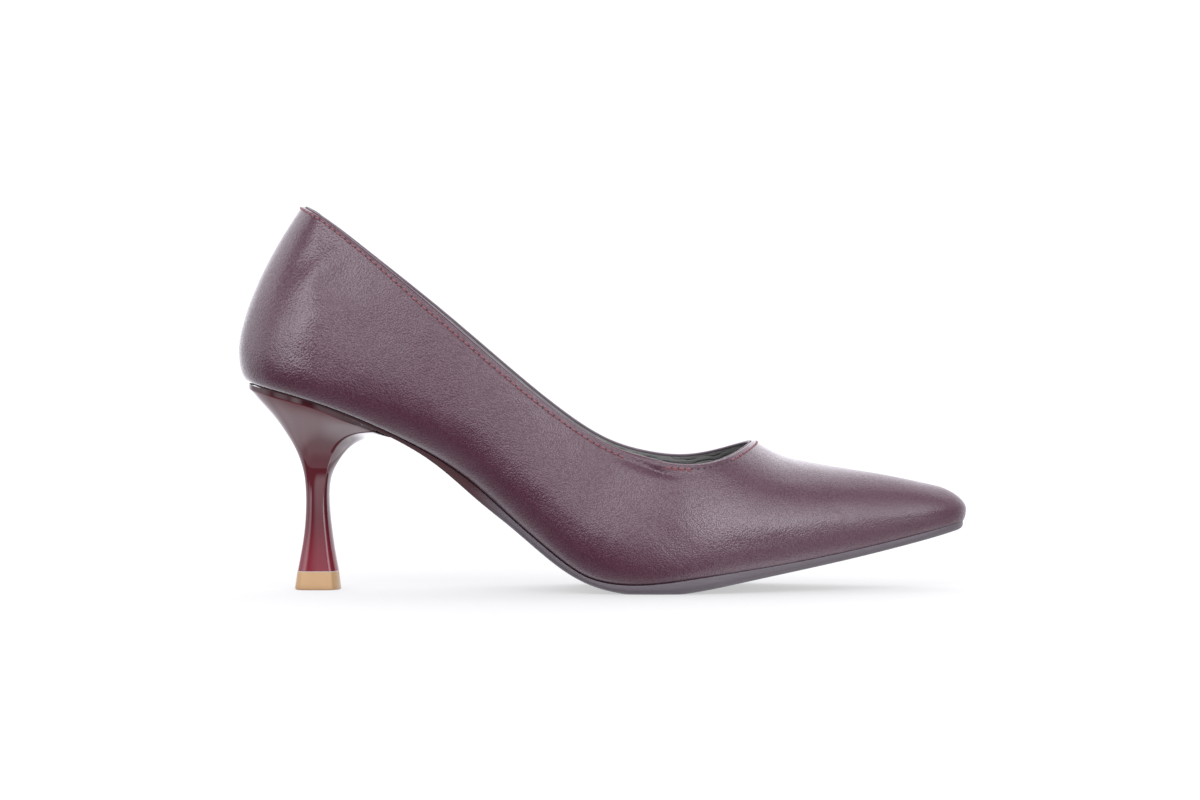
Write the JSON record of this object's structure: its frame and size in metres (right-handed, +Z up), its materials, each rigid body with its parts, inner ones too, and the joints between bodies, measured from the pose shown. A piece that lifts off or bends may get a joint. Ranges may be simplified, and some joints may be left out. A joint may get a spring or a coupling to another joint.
{
  "type": "high heel shoe",
  "caption": "Pointed leather court shoe with a low-cut open top, a thin sole and a slim heel that flares to a rubber tip.",
  "frame": {"origin": "on the floor, under the middle of the shoe's length and width", "axes": "+X to the toe, +Y to the inner side of the foot, +Z up"},
  "size_m": [0.2548, 0.0788, 0.1342],
  "materials": {
    "leather": "semi-gloss grained leather",
    "sole": "satin",
    "lining": "matt",
    "lacquer": "high-gloss lacquer",
    "tip_rubber": "satin"
  },
  "bodies": {
    "root": {"upper": "leather", "outsole": "sole", "insole": "lining", "heel": "lacquer", "top_piece": "tip_rubber"}
  },
  "joints": []
}
